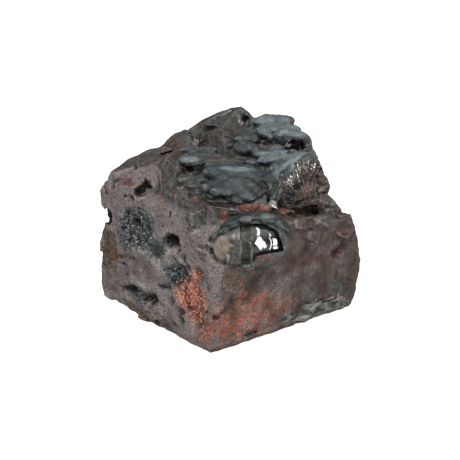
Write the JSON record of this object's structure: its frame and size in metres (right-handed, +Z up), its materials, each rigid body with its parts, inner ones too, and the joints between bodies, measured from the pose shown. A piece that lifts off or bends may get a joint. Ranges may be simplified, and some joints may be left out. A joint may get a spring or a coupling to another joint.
{
  "type": "mineral specimen",
  "caption": "Rough hematite lump: broken red-brown faces with dark vugs, a grey botryoidal crust on top and a split kidney-ore dome at the front.",
  "frame": {"origin": "on the resting face, under the middle of the lump's box", "axes": "+X runs to the right along the brown broken face, +Y runs back along the mauve broken face, +Z up"},
  "size_m": [0.0708, 0.0712, 0.0597],
  "materials": {
    "hematite_ore": "dull broken ore, satin on the rounded crust"
  },
  "bodies": {
    "root": {"hematite": "hematite_ore"}
  },
  "joints": []
}
